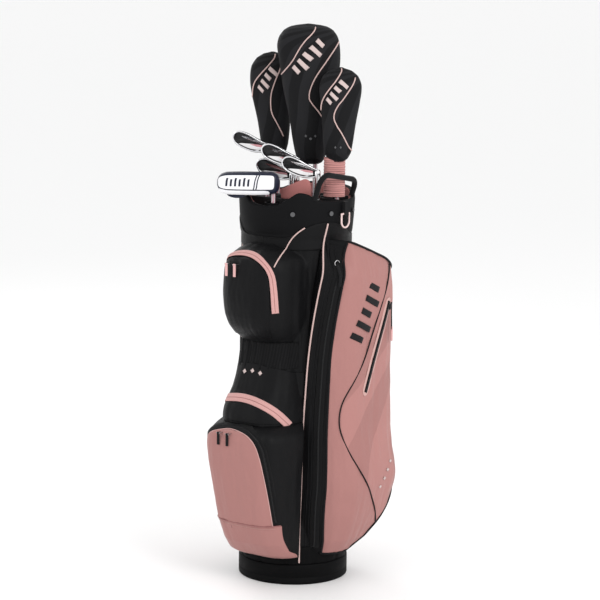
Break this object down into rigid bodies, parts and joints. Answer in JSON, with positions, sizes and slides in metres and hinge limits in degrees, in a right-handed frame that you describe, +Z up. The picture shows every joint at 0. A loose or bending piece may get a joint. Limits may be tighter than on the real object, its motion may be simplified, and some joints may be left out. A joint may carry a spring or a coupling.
{
  "type": "golf club set",
  "caption": "Upright cart golf bag with zipped pockets and full-length dividers, holding woods in padded head covers, cavity-back irons and a covered putter",
  "frame": {"origin": "centre of the flat underside of the bag foot", "axes": "+Z up along the bag; -Y towards the front pockets; +X towards the right side pocket that carries the towel ring"},
  "size_m": [0.374, 0.41, 1.218],
  "materials": {
    "grip_rubber": "matt moulded rubber with fine grooves",
    "shaft_pearl": "pearl white lacquer over graphite with pink pinstripes",
    "wood_head_lacquer": "dark gloss lacquer",
    "club_steel": "polished rim with a satin dark cavity",
    "putter_cover_vinyl": "navy and white padded vinyl",
    "cover_fabric": "black woven padded fabric with pale piping",
    "moulded_black": "fine grained moulded plastic",
    "pink_lining": "pink brushed lining",
    "pink_satin": "satin woven pink nylon with tonal stripes",
    "black_fabric": "black woven nylon",
    "felt_black": "felt",
    "pink_plastic": "pale pink moulded plastic",
    "black_webbing": "woven webbing",
    "zinc": "nickel plated zinc"
  },
  "bodies": {
    "bag": {"bag_tube": "black_fabric", "base_boot": "moulded_black", "base_foot": "moulded_black", "carry_handle": "black_webbing", "collar_lining": "pink_lining", "collar_studs": "zinc", "divider_grid": "moulded_black", "divider_pad_front": "pink_lining", "divider_panel_centre": "pink_lining", "divider_panel_front": "pink_lining", "divider_panel_rear": "pink_lining", "floor_pad": "felt_black", "lower_pocket": "pink_satin", "middle_pocket": "black_fabric", "putter_well": "moulded_black", "shoulder_strap": "black_fabric", "side_pocket_left": "pink_satin", "side_pocket_right": "pink_satin", "spine_panel": "black_fabric", "top_collar": "moulded_black", "towel_ring_tab": "black_webbing", "upper_pocket": "black_fabric", "zip_sliders": "zinc"},
    "driver": {"driver_head": "wood_head_lacquer", "driver_shaft": "shaft_pearl", "driver_grip": "grip_rubber"},
    "driver_cover": {"driver_cover": "cover_fabric", "driver_cover_skirt": "cover_fabric"},
    "fairway_wood": {"fairway_wood_head": "wood_head_lacquer", "fairway_wood_shaft": "shaft_pearl", "fairway_wood_grip": "grip_rubber"},
    "fairway_wood_cover": {"fairway_wood_cover": "cover_fabric", "fairway_wood_cover_skirt": "cover_fabric"},
    "hybrid": {"hybrid_head": "wood_head_lacquer", "hybrid_shaft": "shaft_pearl", "hybrid_grip": "grip_rubber"},
    "hybrid_cover": {"hybrid_cover": "cover_fabric", "hybrid_cover_skirt": "pink_satin"},
    "seven_iron": {"seven_iron_head": "club_steel", "seven_iron_shaft": "shaft_pearl", "seven_iron_grip": "grip_rubber"},
    "nine_iron": {"nine_iron_head": "club_steel", "nine_iron_shaft": "shaft_pearl", "nine_iron_grip": "grip_rubber"},
    "pitching_wedge": {"pitching_wedge_head": "club_steel", "pitching_wedge_shaft": "shaft_pearl", "pitching_wedge_grip": "grip_rubber"},
    "sand_wedge": {"sand_wedge_head": "club_steel", "sand_wedge_shaft": "shaft_pearl", "sand_wedge_grip": "grip_rubber"},
    "putter": {"putter_head": "club_steel", "putter_shaft": "shaft_pearl", "putter_grip": "grip_rubber"},
    "putter_cover": {"putter_cover": "putter_cover_vinyl"},
    "towel_ring": {"towel_ring": "pink_plastic"},
    "upper_zip_pull_left": {"upper_zip_pull_left": "pink_plastic"},
    "upper_zip_pull_right": {"upper_zip_pull_right": "pink_plastic"},
    "lower_zip_pull_left": {"lower_zip_pull_left": "black_webbing"},
    "lower_zip_pull_right": {"lower_zip_pull_right": "black_webbing"},
    "side_zip_slider": {"side_zip_slider": "pink_plastic"}
  },
  "joints": [
    {"name": "driver_draw", "type": "slide", "parent": "bag", "child": "driver", "axis": [0, 0, 1], "range_m": [0, 0.86]},
    {"name": "fairway_wood_draw", "type": "slide", "parent": "bag", "child": "fairway_wood", "axis": [0, 0, 1], "range_m": [0, 0.86]},
    {"name": "hybrid_draw", "type": "slide", "parent": "bag", "child": "hybrid", "axis": [0, 0, 1], "range_m": [0, 0.86]},
    {"name": "seven_iron_draw", "type": "slide", "parent": "bag", "child": "seven_iron", "axis": [0, 0, 1], "range_m": [0, 0.86]},
    {"name": "nine_iron_draw", "type": "slide", "parent": "bag", "child": "nine_iron", "axis": [0, 0, 1], "range_m": [0, 0.86]},
    {"name": "pitching_wedge_draw", "type": "slide", "parent": "bag", "child": "pitching_wedge", "axis": [0, 0, 1], "range_m": [0, 0.86]},
    {"name": "sand_wedge_draw", "type": "slide", "parent": "bag", "child": "sand_wedge", "axis": [0, 0, 1], "range_m": [0, 0.86]},
    {"name": "putter_draw", "type": "slide", "parent": "bag", "child": "putter", "axis": [0, 0, 1], "range_m": [0, 0.86]},
    {"name": "driver_cover_off", "type": "slide", "parent": "driver", "child": "driver_cover", "axis": [0, 0, 1], "range_m": [0, 0.32], "deforming": ["driver_cover_skirt"]},
    {"name": "fairway_wood_cover_off", "type": "slide", "parent": "fairway_wood", "child": "fairway_wood_cover", "axis": [0, 0, 1], "range_m": [0, 0.24], "deforming": ["fairway_wood_cover_skirt"]},
    {"name": "hybrid_cover_off", "type": "slide", "parent": "hybrid", "child": "hybrid_cover", "axis": [0, 0, 1], "range_m": [0, 0.22], "deforming": ["hybrid_cover_skirt"]},
    {"name": "putter_cover_off", "type": "slide", "parent": "putter", "child": "putter_cover", "axis": [0, 0, 1], "range_m": [0, 0.08]},
    {"name": "towel_ring_swing", "type": "hinge", "parent": "bag", "child": "towel_ring", "pos_m": [0.131, 0, 0.817], "axis": [0, -1, 0], "range_deg": [0, 85]},
    {"name": "upper_zip_left_swing", "type": "hinge", "parent": "bag", "child": "upper_zip_pull_left", "pos_m": [-0.042, -0.193, 0.712], "axis": [-1, 0, 0], "range_deg": [0, 120]},
    {"name": "upper_zip_right_swing", "type": "hinge", "parent": "bag", "child": "upper_zip_pull_right", "pos_m": [-0.02, -0.193, 0.712], "axis": [-1, 0, 0], "range_deg": [0, 120]},
    {"name": "lower_zip_left_swing", "type": "hinge", "parent": "bag", "child": "lower_zip_pull_left", "pos_m": [-0.034, -0.227, 0.349], "axis": [-1, 0, 0], "range_deg": [0, 120]},
    {"name": "lower_zip_right_swing", "type": "hinge", "parent": "bag", "child": "lower_zip_pull_right", "pos_m": [-0.01, -0.227, 0.349], "axis": [-1, 0, 0], "range_deg": [0, 120]},
    {"name": "side_zip_open", "type": "slide", "parent": "bag", "child": "side_zip_slider", "axis": [0, -0.4067, -0.9135], "range_m": [0, 0.18]}
  ]
}
